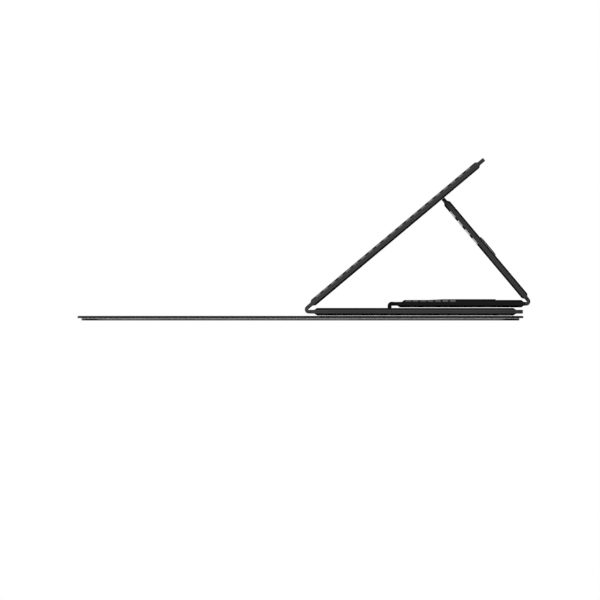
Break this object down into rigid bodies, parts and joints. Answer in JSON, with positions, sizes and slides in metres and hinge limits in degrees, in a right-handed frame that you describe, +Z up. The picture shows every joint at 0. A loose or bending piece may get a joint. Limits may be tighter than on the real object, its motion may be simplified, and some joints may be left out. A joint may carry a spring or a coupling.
{
  "type": "tablet keyboard case",
  "caption": "Tablet keyboard case: a thin keyboard base under a hinged easel whose back panel, leg and strut fold flat.",
  "frame": {"origin": "on the table, under the middle of the open case", "axes": "+X from the typist's edge to the back edge, +Y to the typist's left along the keys, +Z up"},
  "size_m": [0.3624, 0.256, 0.1302],
  "materials": {
    "panel_skin": "matte black coated microfibre",
    "stiffener_board": "plain fibreboard",
    "fold_laminate": "matte black, flexible",
    "grip_pad": "grey ribbed silicone",
    "deck_plastic": "fine matte dark grey",
    "tray_metal": "bead-blasted grey",
    "key_plastic": "matte black",
    "trackpad_glass": "satin dark",
    "membrane_film": "translucent film",
    "rubber_parts": "matte black",
    "circuit_board": "green solder mask",
    "battery_foil": "silver foil",
    "steel_parts": "plated",
    "status_lens": "frosted",
    "pale_foam": "pale foam tape"
  },
  "bodies": {
    "base": {"base_panel_front_skin": "panel_skin", "base_panel_back_skin": "panel_skin", "base_panel_board": "stiffener_board", "base_fold_strip": "fold_laminate", "strut_fold_strip": "fold_laminate", "leg_strap": "fold_laminate", "keyboard_deck": "deck_plastic", "bottom_tray": "tray_metal", "key_membrane": "membrane_film", "ribbon_cable": "membrane_film", "dome_sheet": "rubber_parts", "foot_strip_front": "rubber_parts", "foot_strip_middle": "rubber_parts", "foot_strip_back": "rubber_parts", "controller_board": "circuit_board", "battery_cell": "battery_foil", "charging_port": "steel_parts", "trackpad_switch": "steel_parts", "tray_screw_1": "steel_parts", "tray_screw_2": "steel_parts", "tray_screw_3": "steel_parts", "tray_screw_4": "steel_parts", "tray_screw_5": "steel_parts", "tray_screw_6": "steel_parts", "status_lens": "status_lens", "bond_pad_near": "pale_foam", "bond_pad_far": "pale_foam", "base_gasket": "pale_foam"},
    "back": {"back_panel_front_skin": "panel_skin", "back_panel_board": "stiffener_board", "back_panel_back_skin": "panel_skin", "back_grip_pad": "grip_pad", "back_magnet_near": "steel_parts", "back_magnet_far": "steel_parts", "dock_plate": "steel_parts"},
    "leg": {"leg_front_skin": "panel_skin", "leg_board": "stiffener_board", "leg_back_skin": "panel_skin", "leg_grip_pad": "grip_pad"},
    "strut": {"strut_front_skin": "panel_skin", "strut_board": "stiffener_board", "strut_back_skin": "panel_skin", "strut_grip_pad": "grip_pad", "strut_magnet_near": "steel_parts", "strut_magnet_far": "steel_parts", "strut_pull_tab": "panel_skin"},
    "trackpad_plate": {"trackpad": "trackpad_glass"},
    "power_switch": {"power_slider": "key_plastic"},
    "modifier_keys_left_body": {"modifier_keys_left": "key_plastic"},
    "space_bar_body": {"space_bar": "key_plastic"},
    "modifier_keys_right_body": {"modifier_keys_right": "key_plastic"},
    "lower_letter_keys_body": {"lower_letter_keys": "key_plastic"},
    "home_letter_keys_body": {"home_letter_keys": "key_plastic"},
    "upper_letter_keys_body": {"upper_letter_keys": "key_plastic"},
    "number_keys_body": {"number_keys": "key_plastic"},
    "function_keys_body": {"function_keys": "key_plastic"}
  },
  "joints": [
    {"name": "back_fold", "type": "hinge", "parent": "base", "child": "back", "pos_m": [0.00375, 0, 0.00882], "axis": [0, -1, 0], "range_deg": [0, 140], "deforming": ["base_fold_strip"]},
    {"name": "leg_fold", "type": "hinge", "parent": "base", "child": "leg", "pos_m": [0.06847, 0, 0.01362], "axis": [0, -1, 0], "range_deg": [0, 180], "deforming": ["leg_strap"]},
    {"name": "strut_fold", "type": "hinge", "parent": "leg", "child": "strut", "pos_m": [0.17788, 0, 0.01516], "axis": [0, -1, 0], "range_deg": [-130, 0], "deforming": ["strut_fold_strip"]},
    {"name": "trackpad_click", "type": "hinge", "parent": "base", "child": "trackpad_plate", "pos_m": [-0.1156, 0, 0.00276], "axis": [0, -1, 0], "range_deg": [0, 0.45], "stiffness_Nm_per_rad": 4.4, "springref_deg": -0.29},
    {"name": "power_switch_slide", "type": "slide", "parent": "base", "child": "power_switch", "axis": [0, 1, 0], "range_m": [0, 0.0025]},
    {"name": "modifier_keys_left_press", "type": "slide", "parent": "base", "child": "modifier_keys_left_body", "axis": [0, 0, -1], "range_m": [0, 0.0006], "stiffness_N_per_m": 800, "springref_m": -0.0005},
    {"name": "space_bar_press", "type": "slide", "parent": "base", "child": "space_bar_body", "axis": [0, 0, -1], "range_m": [0, 0.0006], "stiffness_N_per_m": 800, "springref_m": -0.0005},
    {"name": "modifier_keys_right_press", "type": "slide", "parent": "base", "child": "modifier_keys_right_body", "axis": [0, 0, -1], "range_m": [0, 0.0006], "stiffness_N_per_m": 800, "springref_m": -0.0005},
    {"name": "lower_letter_keys_press", "type": "slide", "parent": "base", "child": "lower_letter_keys_body", "axis": [0, 0, -1], "range_m": [0, 0.0006], "stiffness_N_per_m": 800, "springref_m": -0.0005},
    {"name": "home_letter_keys_press", "type": "slide", "parent": "base", "child": "home_letter_keys_body", "axis": [0, 0, -1], "range_m": [0, 0.0006], "stiffness_N_per_m": 800, "springref_m": -0.0005},
    {"name": "upper_letter_keys_press", "type": "slide", "parent": "base", "child": "upper_letter_keys_body", "axis": [0, 0, -1], "range_m": [0, 0.0006], "stiffness_N_per_m": 800, "springref_m": -0.0005},
    {"name": "number_keys_press", "type": "slide", "parent": "base", "child": "number_keys_body", "axis": [0, 0, -1], "range_m": [0, 0.0006], "stiffness_N_per_m": 800, "springref_m": -0.0005},
    {"name": "function_keys_press", "type": "slide", "parent": "base", "child": "function_keys_body", "axis": [0, 0, -1], "range_m": [0, 0.0006], "stiffness_N_per_m": 800, "springref_m": -0.0005}
  ],
  "couplings": [
    {"joint": "leg_fold", "follows": "back_fold", "ratio": 1.2857},
    {"joint": "strut_fold", "follows": "back_fold", "ratio": -0.92857}
  ]
}
